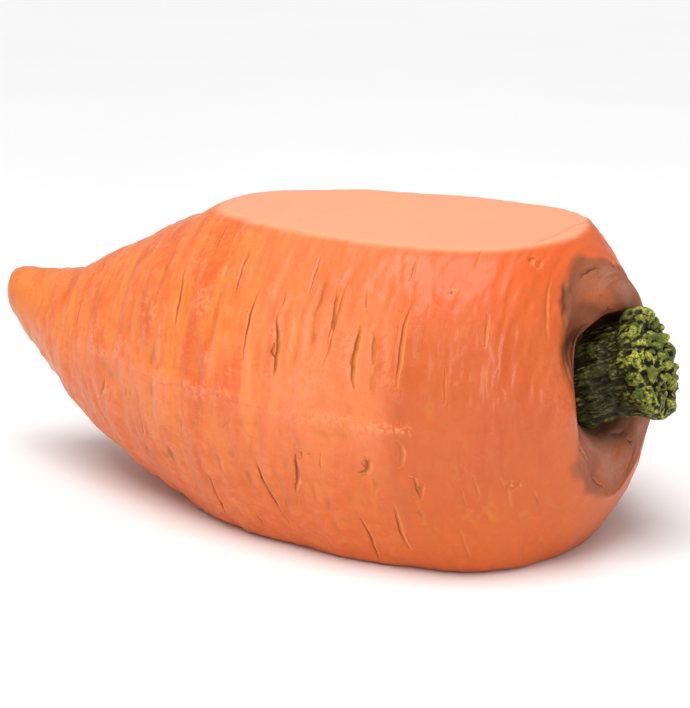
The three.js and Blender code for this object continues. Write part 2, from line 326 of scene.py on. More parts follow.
# the crown, seen along the body: distance from the stub's foot and bearing from the top
crown = {
    "thick": 46,  # how far the inner surface lies behind the crown
    # where the stain ends
    "bearings": (0, 15, 30, 45, 60, 75, 90, 105, 120, 140, 165, 190, 215, 260, 300, 335, 360),
    "reaches": (166, 180, 168, 150, 140, 130, 124, 128, 148, 156, 146, 140, 140, 150, 160, 162, 166),
    # swellings: distance, bearing, half width across, half width round, height
    "swellings": [
        (132, 5, 24, 30, 8), (96, 6, 8, 20, 6), (126, 50, 20, 19, -17), (92, 182, 30, 56, 21),
        (112, 200, 20, 22, 7), (150, 172, 18, 30, 3), (155, 90, 24, 46, 3), (146, 128, 18, 20, 4),
        (112, 236, 26, 30, 8), (112, 290, 26, 36, 8), (112, 335, 24, 26, 8), (163, 32, 14, 26, -5),
        (136, 60, 14, 20, -5), (140, 90, 18, 17, 5), (114, 52, 28, 30, -20), (104, 100, 24, 26, -10),
        (82, 28, 22, 46, -20), (128, 150, 12, 12, -5), (118, 258, 14, 10, -6), (122, 314, 14, 10, -6),
        (122, 222, 14, 8, -6),
    ],
    # creases: distance and bearing where each starts and ends, half width, depth, bow
    "creases": [
        (158, 20, 150, 0, 2.2, 3, 6), (170, 26, 146, 50, 4, 2.2, -6), (144, 52, 126, 82, 3.4, 2, -4),
        (137, 113, 125, 136, 1.8, 3, 2), (125, 136, 142, 166, 1.7, 2.6, -3), (142, 166, 150, 169, 1.4, 2, 0),
        (122, 17, 104, 6, 1.8, 1.8, -3), (116, 22, 110, 12, 1.5, 1.6, -2),
        (150, 196, 120, 214, 2.4, 3, 3), (152, 212, 147, 216, 3, 3.2, 0), (110, 250, 150, 262, 2.5, 3.5, 3),
        (112, 314, 156, 318, 2.5, 3.5, -3), (100, 280, 108, 300, 2.4, 2.4, 3), (160, 232, 140, 244, 2, 2, 2),
        (90, 186, 98, 208, 2.2, 2, -3), (165, 340, 150, 350, 2, 2, 3), (104, 200, 110, 206, 2.4, 2.6, 0),
    ],
}


def moreCuts():
    draw = np.random.default_rng(sculpt["seed"])
    made = []
    for k in range(sculpt["hiddenCuts"] + sculpt["frontCuts"]):
        hidden = k < sculpt["hiddenCuts"]
        along = sculpt["reach"] * draw.uniform(0.12, 0.93) ** 0.8
        middle = draw.uniform(-132, -32) if hidden else draw.uniform(42, 124)
        reach = draw.uniform(2, 10) if hidden else draw.uniform(1.5, 5)
        lean = draw.uniform(-6, 7)
        width = draw.uniform(1.3, 3.4) if hidden else draw.uniform(0.9, 1.5)
        depth = width * draw.uniform(0.6, 1.2) if hidden else sculpt["scratchDepth"]
        bow = draw.uniform(-3, 3)
        made.append((along - lean, middle - reach, along + lean, middle + reach, width, depth, bow))
    return made


class Marks:
    # how deep each point is cut, how far across its nearest cut it lies and how strong that cut is there
    def __init__(self, shape):
        self.depth = np.zeros(shape)
        self.across = np.full(shape, farAcross)
        self.strength = np.zeros(shape)

    def cut(self, near, u, v, start, end, width, deep, bow, number):
        run = np.array(end) - start
        length = np.linalg.norm(run)
        run = run / length
        offset = np.stack([u - start[0], v - start[1]], -1)
        share = np.clip(offset @ run / length, 0, 1)
        taper = np.sqrt(np.clip(np.sin(np.pi * np.clip(offset @ run / length, 0, 1)), 0, 1))
        wave = 0.5 * np.sin(share * 9 + number) + 0.3 * np.sin(share * 23 + 2 * number)
        sideways = offset[:, 0] * run[1] - offset[:, 1] * run[0]
        sideways = sideways - bow * 4 * share * (1 - share) - wave * width * 0.6
        q = sideways / (width * (0.35 + 0.65 * taper))
        steep = np.where(q < 0, 2.6, 0.6)  # the wall nearer the tip is steeper than the other
        lip = 0.3 * bell(q, 2.5, 0.9) + 0.12 * bell(q, -1.4, 0.7)
        self.depth[near] += deep * taper * (np.exp(-steep * q * q) - lip)
        power = taper * min(deep / 3, 1) * (1 - smooth(2.2, 3.4, np.abs(q)))
        better = (np.abs(q) < np.abs(self.across[near])) & (power > 0.02) & (width < fluteWidth)
        self.across[near] = np.where(better, q, self.across[near])
        self.strength[near] = np.where(better, power, self.strength[near])


class PlainSkin:
    # rings of points on the plain outline, and where each of them lies on the body
    def __init__(self):
        self.line = bodyOutline(body["rows"])
        inner = self.line[1:-1]
        angles = spreadAngles(body["columns"])
        self.along = np.repeat(inner[:, :1], len(angles), 1)
        self.radius = np.repeat(inner[:, 1:2], len(angles), 1)
        self.angle = np.repeat(angles[None], len(inner), 0)
        self.signed = turnFrom(self.angle, 0)
        turn = np.radians(self.angle)
        widthShare = bodyWidth / 2 / body["radius"]
        self.grid = np.stack([
            self.along + tipX,
            -widthShare * self.radius * np.sin(turn),
            inner[:, 2:3] + self.radius * np.cos(turn),
        ], -1)
        crest = int(np.argmax(inner[:, 0]))
        self.outside = np.repeat((np.arange(len(inner)) <= crest)[:, None], len(angles), 1)
        downRows = np.gradient(self.grid, axis=0)
        roundRing = np.roll(self.grid, -1, 1) - np.roll(self.grid, 1, 1)
        normal = np.cross(roundRing, downRows)
        self.normal = normal / np.linalg.norm(normal, axis=-1)[..., None]
        # seen along the body from the stub's foot
        self.across = -self.grid[..., 1]
        self.upward = self.grid[..., 2] - stubHeight
        self.fromStub = np.hypot(self.across, self.upward)
        self.bearing = np.degrees(np.arctan2(self.across, self.upward)) % 360

    def noise(self, name):
        reachAlong, reachAcross, seed, octaves = sculpt[name]
        return roughness(self.grid / [reachAlong, reachAcross, reachAcross], seed, octaves)


def carveBody(marks, skin):
    usable = skin.outside & (skin.along < 0.962 * bodyLength)
    for number, (a0, g0, a1, g1, width, deep, bow) in enumerate(cuts + moreCuts()):
        if g1 < g0:
            a0, g0, a1, g1 = a1, g1, a0, g0
        middle = (g0 + g1) / 2
        turn = turnFrom(skin.angle, middle)
        reach = abs(g1 - g0) / 2 + 10
        reachAlong = abs(a1 - a0) / 2 + 12 * width
        near = usable & (np.abs(turn) < reach) & (np.abs(skin.along - (a0 + a1) / 2) < reachAlong)
        if near.any():
            arc = np.radians(1) * np.median(skin.radius[near])
            start, end = (a0, (g0 - middle) * arc), (a1, (g1 - middle) * arc)
            marks.cut(near, skin.along[near], turn[near] * arc, start, end, width, deep, bow, number)


def onCrown(distance, bearing):
    turn = math.radians(bearing)
    return distance * math.sin(turn), distance * math.cos(turn)


def crownFolds(marks, skin):
    # creases go into the marks; returns the swellings' height
    across, upward = skin.across, skin.upward
    usable = (skin.along > 900) & (skin.fromStub > 66)
    height = np.zeros_like(across)
    for distance, turn, reachOut, reachRound, rise in crown["swellings"]:
        away = turnFrom(skin.bearing, turn)
        height += rise * np.exp(-((skin.fromStub - distance) / reachOut) ** 2 - (away / reachRound) ** 2)
    for number, (d0, b0, d1, b1, width, deep, bow) in enumerate(crown["creases"]):
        start, end = np.array(onCrown(d0, b0)), np.array(onCrown(d1, b1))
        middle, reach = (start + end) / 2, np.linalg.norm(end - start) / 2 + 30
        near = usable & (np.hypot(across - middle[0], upward - middle[1]) < reach)
        if near.any():
            marks.cut(near, across[near], upward[near], start, end, width, deep, bow, 3 * number + 1)
    return height * usable


def handRelief(skin):
    # lumps, rings, dents and strokes left by the hands that modelled the body
    along, outside = skin.along, skin.outside
    height = np.zeros_like(along)
    for a, g, reachAlong, reachRound, rise in body["lumps"]:
        away = turnFrom(skin.signed, g)
        height += rise * np.exp(-((along - a) / reachAlong) ** 2 - (away / reachRound) ** 2) * outside
    fade = smooth(15, 110, along) * (1 - 0.45 * smooth(760, 900, along)) * outside
    nearTip = 1 - smooth(300, 520, along)
    height += sculpt["ringHeight"] * skin.noise("rings") * (0.35 + 0.65 * fade) * (1 + 0.7 * nearTip)
    height += sculpt["dentDepth"] * np.minimum(skin.noise("dents") + 0.25, 0) * fade
    height += sculpt["strokeHeight"] * skin.noise("strokes") * band(770, 870, 955, 975, along) * outside
    height += sculpt["ridgeHeight"] * skin.noise("ridges") * fade
    seatSide = smooth(50, 34, np.abs(skin.signed)) * smooth(200, 300, along)
    below = smooth(80, 112, np.abs(skin.signed)) * (1 - smooth(880, 960, along))
    hummocks = (sculpt["hummockHeight"] + sculpt["hummockBelow"] * below) * skin.noise("hummocks")
    height += hummocks * (1 - seatSide) * (0.4 + 0.6 * fade)
    height += sculpt["waveHeight"] * softNoise(skin.grid / sculpt["waveLength"], 12) * (0.4 + 0.6 * fade)
    height += sculpt["grainHeight"] * skin.noise("grain")
    flutes = np.maximum(skin.noise("flutes"), 0) ** 1.4
    height += sculpt["fluteHeight"] * flutes * band(480, 560, 800, 870, along) * smooth(115, 80, skin.angle)
    return height


def mouldLine(skin):
    # the mould line, with a rough ledge along the fat middle
    grid, along, outside = skin.grid, skin.along, skin.outside
    fromJoint = grid[..., 2] - jointHeight - 0.8 * softNoise(grid / [25, 400, 400], 51)
    shown = band(300, 420, 700, 800, along) * outside
    ledge = band(590, 625, 808, 814, along) * outside * bell(fromJoint, -6, 8)
    rim = bell(fromJoint, 1, 3.5) * band(640, 690, 808, 818, along) * outside
    shoulder = bell(fromJoint, 5, 9) * band(200, 260, 560, 620, along) * outside
    height = sculpt["lineHeight"] * bell(fromJoint, 1, 3) * shown
    height += sculpt["ledgeHeight"] * ledge * (1 + 0.5 * skin.noise("ledgeNoise"))
    height += sculpt["rimHeight"] * rim * (1 + 0.6 * skin.noise("rimNoise"))
    height += sculpt["shoulderHeight"] * shoulder
    return height, {"jointLine": np.clip(fromJoint / 4, -2, 2), "jointShown": shown, "jointRim": rim}


def seatAndFoot(skin, height):
    # moves the skin out by its height, then flattens it at the seat and the foot
    grid = skin.grid + skin.normal * height[..., None]
    edge = body["edge"] * (1 + 0.25 * softNoise(grid / 70, 61))
    level = skin.grid[..., 2] + skin.normal[..., 2] * height
    seatShare = smooth(-6, 6, level - seatHeight)
    grid[..., 2] = flatten(level, edge) + seatShare * 0.6 * softNoise(grid / [110, 110, 1000], 63)

    # a crease along the crown end of the seat
    creaseLine = 0.913 * bodyLength - 0.0004 * grid[..., 1] ** 2
    wander = 3 * softNoise(grid / 40, 66)
    uneven = 0.55 + 0.45 * softNoise(grid / 17, 68)
    crease = bell(skin.along - creaseLine, wander, 2.6) * uneven
    crease *= (1 - smooth(90, 135, np.abs(grid[..., 1]))) * smooth(-40, -8, level - seatHeight)
    grid[..., 2] -= sculpt["creaseDepth"] * crease
    return grid, seatShare, crease


def crownStain(skin, grid):
    limit = np.interp(skin.bearing, crown["bearings"], crown["reaches"])
    ragged = skin.fromStub + 9 * roughness(grid / 30, 71, 2)
    stain = smooth(900, 930, skin.along) * (1 - smooth(-9, 7, ragged - limit))
    return np.maximum(stain, 1 - skin.outside)


def carrotSkin():
    # returns the whole outer skin and the core that hollows it
    skin = PlainSkin()
    height = handRelief(skin)
    marks = Marks(skin.along.shape)
    carveBody(marks, skin)
    folds = crownFolds(marks, skin)
    atCrown = smooth(885, 940, skin.along) + ~skin.outside
    height += folds * np.clip(atCrown, 0, 1) - marks.depth
    lineHeight, lineAttributes = mouldLine(skin)
    height += lineHeight
    core = carrotCore(skin, height)

    slim = smooth(25, 110, skin.radius) * skin.outside
    fine = (height - blurred(height, 14)) * slim
    wide = (height - blurred(height, 90)) * slim
    grid, seatShare, crease = seatAndFoot(skin, height)
    attributes = {
        "cutAcross": marks.across,
        "cutStrength": marks.strength * (1 - seatShare),
        "fine": np.clip(fine * (1 - seatShare), -2, 2),
        "wide": np.clip(wide * (1 - seatShare), -4, 4),
        "seatShare": seatShare,
        "stain": crownStain(skin, grid),
        # nearness to the stub's foot, which carries the painted shade there
        "hollow": smooth(108, 70, skin.fromStub) * smooth(900, 940, skin.along),
        "fold": folds / 8,
        "crease": crease,
        **lineAttributes,
    }
    # values at the tip and at the middle of the hollow
    ends = {"cutAcross": (farAcross, farAcross), "stain": (0, 1), "hollow": (0, 1)}
    for name, values in attributes.items():
        atTip, atHollow = ends.get(name, (0, 0))
        attributes[name] = np.r_[atTip, values.ravel(), atHollow]
    tip, hollow = ([point[0] + tipX, 0, point[2]] for point in skin.line[[0, -1]])
    return gridMesh("bodyWhole", tip, grid, hollow, attributes), core


def carrotCore(skin, height):
    # the inner surface of the laminate: a wall's depth below the skin's deepest mark nearby
    dent = np.minimum(height, 0)
    for _ in range(5):
        padded = np.vstack([dent[:1], dent, dent[-1:]])
        dent = np.minimum.reduce([dent, padded[:-2], padded[2:], np.roll(dent, 1, 1), np.roll(dent, -1, 1)])
    wall, line = body["wall"], skin.line
    atCrown = smooth(840, 930, skin.along)[..., None]
    inner = skin.grid + skin.normal * (blurred(dent, 10)[..., None] * (1 - atCrown) - wall)
    inner[..., :1] -= crown["thick"] * atCrown
    inner[..., 2] = np.clip(inner[..., 2], wall, seatHeight - wall)
    first = [line[0, 0] + tipX + wall, 0, line[0, 2]]
    last = [line[-1, 0] + tipX - wall - crown["thick"], 0, line[-1, 2]]
    return gridMesh("bodyCore", first, inner[4:-4:6, ::3], last, {})


def cutter(name, low, high, corner=0, steps=8):
    # an upright block with rounded corners
    middle = (np.array(low) + np.array(high)) / 2
    half = (np.array(high) - np.array(low)) / 2
    ring = []
    for quarter in range(4):
        centre = (half[:2] - corner) * ((1, 1), (-1, 1), (-1, -1), (1, -1))[quarter]
        for k in range(steps if corner else 1):
            turn = (quarter + k / max(steps - 1, 1)) * math.pi / 2
            ring.append(centre + corner * np.array([math.cos(turn), math.sin(turn)]))
    ring = np.array(ring) + middle[:2]
    count = len(ring)
    layers = [np.c_[ring, np.full(count, z)] for z in (low[2], high[2])]
    points = np.vstack(layers) * mm
    mesh = bpy.data.meshes.new(name)
    around = [(k, (k + 1) % count, count + (k + 1) % count, count + k) for k in range(count)]
    floor, roof = tuple(range(count))[::-1], tuple(range(count, 2 * count))
    mesh.from_pydata(points.tolist(), [], [floor, roof, *around])
    piece = bpy.data.objects.new(name, mesh)
    bpy.context.scene.collection.objects.link(piece)
    return piece


def carryOver(piece, source):
    # a boolean leaves new points along its cuts: they take the skin's values from the nearest old point
    kept = source.data
    tree = kdtree.KDTree(len(kept.vertices))
    for index, point in enumerate(pointsOf(kept)):
        tree.insert(point, index)
    tree.balance()
    found = [tree.find(point)[1:] for point in pointsOf(piece.data)]
    nearest = np.array([index for index, distance in found])
    away = np.array([distance for index, distance in found]) / mm
    for attribute in kept.attributes:
        if attribute.domain == "POINT" and attribute.data_type == "FLOAT":
            setAttributes(piece.data, {attribute.name: readOut(attribute.data, "value")[nearest]})
    inside = away > 0.8 * body["wall"]
    corners = readOut(piece.data.loops, "vertex_index", kind=int)
    starts = readOut(piece.data.polygons, "loop_start", kind=int)
    lining = np.minimum.reduceat(inside[corners].astype(int), starts)
    piece.data.polygons.foreach_set("material_index", lining.astype(np.int32))


def shellHalf(name, whole, core, keepLow, keepHigh):
    piece = whole.copy()
    piece.data = whole.data.copy()
    piece.name = piece.data.name = name
    bpy.context.scene.collection.objects.link(piece)
    far = 900
    block = cutter("keepBlock", (-far, -far, keepLow), (far, far, keepHigh))
    combined(piece, "DIFFERENCE", core)
    combined(piece, "INTERSECT", block)
    discard(block)
    return piece


def finishPiece(piece, materials, node, sharpAngle=None):
    piece.data.materials.clear()
    for material in materials:
        piece.data.materials.append(material)
    piece.data.polygons.foreach_set("use_smooth", np.ones(len(piece.data.polygons), bool))
    if sharpAngle:
        piece.data.set_sharp_from_angle(angle=math.radians(sharpAngle))
    piece.data.update()
    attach(piece, "root")
    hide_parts(node)


stub = {
    "length": 110,
    "lean": 18,  # degrees up
    "turn": 10,  # degrees towards +Y
    # distance out and radius
    "profile": [(-34, 63), (0, 63), (12, 61), (34, 60), (54, 61), (70, 65), (86, 72), (101, 75), (108, 68)],
    "stalks": 9,
    "groove": 4.5,
    # distance from the middle, bearing and size of the swellings round the end
    "lobes": [
        (63, 2, 18), (57, 48, 14), (58, 92, 17), (56, 135, 15), (60, 176, 18), (59, 222, 16),
        (57, 268, 18), (60, 318, 16),
    ],
    "knobs": 66,
    "knobSpread": 66,  # how far from the middle the knobs reach
    "knobTurn": 137.5,
    "flareSwellings": 14,
    "voxel": 1.4,
    "seed": 5,
}


def stubNeck():
    # a grooved neck that flares towards its end, made along +X
    out, reachOut = np.array(stub["profile"], float).T
    steps = np.linspace(out[0], out[-1], 66)
    profile = np.interp(steps, out, reachOut)
    turn = np.linspace(0, 2 * np.pi, 170, endpoint=False)
    stalk = 0.5 + 0.5 * np.cos(turn * stub["stalks"] + 0.9 * np.sin(turn * 2 + 1) + 0.5 * np.sin(turn * 5))
    reach = profile[:, None] + stub["groove"] * (stalk ** 0.6 - 0.75)
    blank = 0 * reach
    cosine, sine = np.cos(turn)[None] + blank, np.sin(turn)[None] + blank
    wander = np.stack([cosine, sine, steps[:, None] / 45 + blank], -1)
    reach = reach + 4 * roughness(wander * 2, 81, 2)
    grid = np.stack([steps[:, None] + blank, reach * sine, reach * cosine], -1)
    return gridMesh("stubCore", [out[0], 0, 0], grid[:, ::-1], [out[-1], 0, 0], {})


def stubBumps(draw):
    # each bump: distance out, distance from the middle, bearing, size, stretch
    bumps = []
    for away, bearing, size in stub["lobes"]:
        bumps.append((stub["length"] - 14 + draw.uniform(-4, 3), away, bearing, size, 1.35))
    for k in range(stub["knobs"]):
        share = ((k + 0.5) / stub["knobs"]) ** 0.5
        size = draw.uniform(5.5, 10)
        onto = stub["length"] + 4 - 12 * share ** 3 + draw.uniform(-6, 4)
        bearing = k * stub["knobTurn"] + draw.uniform(-14, 14)
        bumps.append((onto, stub["knobSpread"] * share, bearing, size, draw.uniform(0.9, 1.5)))
    for k in range(stub["flareSwellings"]):
        back = draw.uniform(16, 50)
        size = draw.uniform(7, 12)
        away = 68 - 0.25 * back - size * 0.6
        bumps.append((stub["length"] - back, away, draw.uniform(0, 360), size, 1.7))
    return bumps


def leanedStub(points):
    # turns the stub from +X to its lean and puts it on the crown
    lean, side = math.radians(stub["lean"]), math.radians(stub["turn"])
    ahead = points[:, 0] * math.cos(lean) - points[:, 2] * math.sin(lean)
    upward = points[:, 0] * math.sin(lean) + points[:, 2] * math.cos(lean)
    forward = ahead * math.cos(side) - points[:, 1] * math.sin(side)
    across = ahead * math.sin(side) + points[:, 1] * math.cos(side)
    return np.stack([forward + stubFoot + tipX, across, upward + stubHeight], 1)


def stalkStub():
    # a bundle of cut leaf stalks
    draw = np.random.default_rng(stub["seed"])
    core = stubNeck()
    for x, away, bearing, size, stretch in stubBumps(draw):
        y, z = onCrown(away, bearing)
        spot = (x * mm, -y * mm, z * mm)
        bpy.ops.mesh.primitive_ico_sphere_add(subdivisions=3, radius=size * mm, location=spot)
        bud = bpy.context.object
        bud.scale = (stretch, draw.uniform(0.8, 1.1), draw.uniform(0.8, 1.1))
        combined(core, "UNION", bud)
        discard(bud)
    core.name = core.data.name = "stalkStub"
    applied(core, "REMESH", {"mode": "VOXEL", "voxel_size": stub["voxel"] * mm})
    applied(core, "SMOOTH", {"factor": 0.5, "iterations": 2})

    mesh = core.data
    points = pointsOf(mesh) / mm
    normals = readOut(mesh.vertex_normals, "vector", 3)
    edges = readOut(mesh.edges, "vertices", 2, np.int32)
    toEnd = smooth(52, 104, points[:, 0])
    fibres = roughness(points / [17, 5, 5], 90, 3)
    knobs = roughness(points / 7.5, 95, 3)
    lift = 1.5 * fibres * (1 - 0.75 * toEnd) + 0.9 * knobs * (0.5 + 0.5 * toEnd)
    pits = np.minimum(roughness(points / 15, 99, 2) + 0.3, 0) * 5 * toEnd
    points += normals * (lift + pits)[:, None]
    attributes = {
        "raised": convexity(points, normals, edges, 6),
        "knob": np.clip(convexity(points, normals, edges, 60) / 3, -1, 1),
        "toEnd": toEnd,
    }
    mesh.vertices.foreach_set("co", (leanedStub(points) * mm).ravel().astype(np.float32))
    setAttributes(mesh, attributes)
    mesh.update()
    return core


def convexity(points, normals, edges, rounds):
    # how far each point stands above a smoothed copy of the surface
    soft = points.copy()
    count = np.bincount(edges.ravel(), minlength=len(points))[:, None]
    for _ in range(rounds):
        total = np.zeros_like(soft)
        for axis in range(3):
            total[:, axis] += np.bincount(edges[:, 0], soft[edges[:, 1], axis], len(points))
            total[:, axis] += np.bincount(edges[:, 1], soft[edges[:, 0], axis], len(points))
        soft = total / np.maximum(count, 1)
    return np.clip(np.sum((points - soft) * normals, 1), -2, 2)


def linear(red, green, blue, alpha=1):
    return (*[((c / 255 + 0.055) / 1.055) ** 2.4 if c > 10 else c / 3295 for c in (red, green, blue)], alpha)


class Wire:
    # a node socket that can be used in sums
    def __init__(self, tree, socket):
        self.tree = tree
        self.socket = socket

    def maths(self, operation, *others):
        node = self.tree.nodes.new("ShaderNodeMath")
        node.operation = operation
        for entry, value in zip(node.inputs, (self, *others)):
            connect(self.tree, entry, value)
        return Wire(self.tree, node.outputs[0])

    def __add__(self, other):
        return self.maths("ADD", other)

    def __mul__(self, other):
        return self.maths("MULTIPLY", other)

    def __sub__(self, other):
        return self.maths("SUBTRACT", other)

    def __rsub__(self, other):
        return (self * -1) + other

    __radd__ = __add__
    __rmul__ = __mul__

    def size(self):
        return self.maths("ABSOLUTE")

    def between(self, low, high):
        node = self.tree.nodes.new("ShaderNodeMapRange")
        node.interpolation_type = "SMOOTHSTEP"
        for entry, value in zip(node.inputs, (self, low, high, 0, 1)):
            connect(self.tree, entry, value)
        return Wire(self.tree, node.outputs[0])


def connect(tree, entry, value):
    if isinstance(value, Wire):
        tree.links.new(value.socket, entry)
    else:
        entry.default_value = value


class Finish:
    def __init__(self, name):
        self.material = bpy.data.materials.new(name)
        self.material.use_nodes = True
        self.tree = self.material.node_tree
        self.tree.nodes.clear()

    def node(self, kind, settings=None, inputs=None, output=0):
        made = self.tree.nodes.new("ShaderNode" + kind)
        for key, value in (settings or {}).items():
            setattr(made, key, value)
        for key, value in (inputs or {}).items():
            connect(self.tree, made.inputs[key], value)
        return Wire(self.tree, made.outputs[output])

    def attribute(self, name):
        return self.node("Attribute", {"attribute_name": name}, output="Fac")

    def place(self, scale=(1, 1, 1)):
        spot = self.node("TexCoord", output="Object")
        return self.node("VectorMath", {"operation": "MULTIPLY"}, {0: spot, 1: scale})

    def noise(self, scale, detail=3, rough=0.55, warp=0.0):
        # scale is given in millimetres for each axis
        spot = self.place([1000 / s for s in scale])
        return self.node("TexNoise", None, {
            "Vector": spot, "Scale": 1, "Detail": detail, "Roughness": rough, "Distortion": warp})

    def mix(self, share, low, high):
        made = self.tree.nodes.new("ShaderNodeMix")
        made.data_type = "RGBA"
        for entry, value in ((made.inputs[0], share), (made.inputs[6], low), (made.inputs[7], high)):
            connect(self.tree, entry, value)
        return Wire(self.tree, made.outputs[2])

    def bump(self, height, distance, strength=1, below=None):
        inputs = {"Height": height, "Distance": distance, "Strength": strength}
        if below is not None:
            inputs["Normal"] = below
        return self.node("Bump", None, inputs)

    def surface(self, inputs):
        shader = self.node("BsdfPrincipled", None, inputs)
        output = self.tree.nodes.new("ShaderNodeOutputMaterial")
        self.tree.links.new(shader.socket, output.inputs["Surface"])
        return self.material


paint = {
    "orange": linear(246, 128, 58),
    "deep": linear(228, 96, 36),
    "yellow": linear(246, 148, 62),
    "red": linear(182, 72, 16),
    "ochre": linear(226, 134, 50),
    # salmon: a paler band of the coat, and painted highlights on ridges and cut lips
    "salmon": linear(252, 148, 102),
    # pale: painted glints on the mould ledge
    "pale": linear(252, 176, 118),
    # deeper, more ochre paint low on the body: partly its own tone, partly painted shade towards the bottom
    "bellyToneAndShade": linear(212, 96, 14),
    "tip": linear(224, 130, 60),
    # cut and cutDark darken the cuts, the relief's hollows and the seat's crease as glaze and painted shade;
    # cut also marks the mould line
    "cut": linear(168, 76, 24),
    "cutDark": linear(84, 36, 10),
    "stain": linear(124, 80, 56),
    "stainPale": linear(172, 120, 98),
    # darker stain specks, and painted shade in the crown's hollows
    "stainDarkAndShade": linear(86, 50, 30),
    # hollow: painted shade round the stub's foot
    "hollow": linear(80, 44, 16),
    # seat: paler paint on the upward seat face, a painted highlight for the light falling on the top
    "seat": linear(255, 172, 130),
    "coatRoughness": 0.2,
}

# noise in the paint: reach in millimetres for each axis, detail, roughness, distortion
paintNoise = {
    "streak": ((11, 90, 90), 4, 0.6, 0.4),
    "broad": ((38, 150, 150), 3, 0.55, 0.5),
    "patch": ((85, 110, 110), 3, 0.5, 0.8),
    "thin": ((4.5, 60, 60), 3, 0.6, 0.2),
    "wisp": ((60, 5, 5), 3, 0.6, 0.3),
    "speck": ((6, 6, 6), 4, 0.65),
    "mottle": ((22, 15, 15), 5, 0.68, 0.6),
    "brush": ((2.2, 26, 26), 3, 0.6, 0.3),
    "lumps": ((17, 26, 26), 3, 0.55, 0.4),
}


def layered(f, colour, layers, colours=paint):
    # each layer is a share of the whole and the name of its colour
    for share, name in layers:
        colour = f.mix(share, colour, colours[name])
    return colour


def orangeGlazesAndPaintedLight(f, noise, along, z, seatShare):
    # the orange coat: glazes over one another, redder at the crown; darker towards the bottom as painted
    # shade, paler on the seat as a painted highlight, with painted highlights on raised relief and painted
    # shade in its hollows
    fine, wide = f.attribute("fine"), f.attribute("wide")
    mottle, patch, streak = noise["mottle"], noise["patch"], noise["streak"]
    # low marks the bottom of the body, where the paint is darkened as painted shade
    low = 1 - z.between(0.04, 0.25)
    # upper marks a band of the upper flank under the seat, painted deeper as painted shade
    upper = z.between(0.3, 0.41) * along.between(0.45, 0.75)
    # paler paint on raised relief: dry-brushed paint and a painted highlight on the ridges
    drybrushAndHighlight = fine.between(0.0, 0.35) * 0.25 + wide.between(0.3, 1.8) * 0.4
    paler = along.between(0.5, 0.66) * (1 - along.between(0.78, 0.82)) * (1 - low)
    atTip = 1 - along.between(0.02, 0.16)
    colour = layered(f, paint["orange"], [
        (noise["broad"].between(0.35, 0.68), "deep"),
        (streak.between(0.46, 0.7) * patch.between(0.36, 0.6) * 0.5, "yellow"),
        (mottle.between(0.5, 0.66) * 0.4, "deep"),
        (mottle.between(0.5, 0.36) * 0.45, "ochre"),
        (noise["wisp"].between(0.5, 0.68) * (0.5 - along.between(0.2, 0.9) * 0.15), "ochre"),
        # salmon on raised relief: painted highlight, less of it towards the bottom
        (drybrushAndHighlight * noise["speck"].between(0.38, 0.6) * (1 - low * 0.6), "salmon"),
        (paler * (0.2 + 0.3 * mottle.between(0.4, 0.6)), "salmon"),
        (along.between(0.62, 0.84) * 0.35 + along.between(0.78, 0.82) * 0.35, "red"),
        # deeper band on the upper flank: painted shade
        (upper * 0.6, "deep"),
        # darker towards the bottom: painted shade with some ochre tone
        (low * (0.45 + 0.55 * mottle.between(0.35, 0.65)), "bellyToneAndShade"),
        (atTip * (0.35 + 0.5 * mottle.between(0.6, 0.4)), "tip"),
        # paler on the seat: painted highlight on the upward face
        (seatShare * 0.78, "seat"),
        ((1 - wide.between(-2.4, -0.3)) * mottle.between(0.3, 0.6) * 0.5, "ochre"),
        # darker in the hollows of the relief: painted shade
        ((1 - wide.between(-3.6, -1.8)) * 0.5, "cut"),
        ((1 - fine.between(-1.3, -0.3)) * 0.22, "cut"),
    ])
    return colour, low, upper


def cutGlazesAndPaintedLight(f, noise, colour):
    # glaze gathers in the tool cuts, with painted shade in the grooves and the seat's crease and painted
    # highlights on the cut lips and the mould ledge
    across, strength = f.attribute("cutAcross"), f.attribute("cutStrength")
    thin = noise["thin"]
    glaze = across.between(-0.3, 0.4) * (1 - across.between(1.2, 2.2)) * strength
    # lip: the paler lip beside each cut, a painted highlight
    lip = across.between(1.2, 1.8) * (1 - across.between(2.2, 3.0)) * strength
    # groove and core darken each cut: glaze gathered there and painted shade
    groove = (1 - (across - 0.1).size().between(0.1, 0.9)) * strength
    core = (1 - (across + 0.2).size().between(0.05, 0.36)) * strength.between(0.3, 0.9)
    nearLine = 1 - f.attribute("jointLine").size().between(0.0, 0.28)
    line = nearLine * f.attribute("jointShown") * noise["streak"].between(0.3, 0.55)
    return layered(f, colour, [
        (glaze * 0.7, "ochre"),
        (lip * thin.between(0.35, 0.6) * 0.9, "salmon"),
        (groove * 0.75, "cut"),
        (core * thin.between(0.3, 0.52) * 0.6, "cutDark"),
        (line * 0.35, "cut"),
        # pale specks on the rough mould ledge: painted glints
        (f.attribute("jointRim") * noise["speck"].between(0.42, 0.58) * 0.8, "pale"),
        # darker in the seat's crease: painted shade
        (f.attribute("crease") * 0.5, "cut"),
    ]), groove


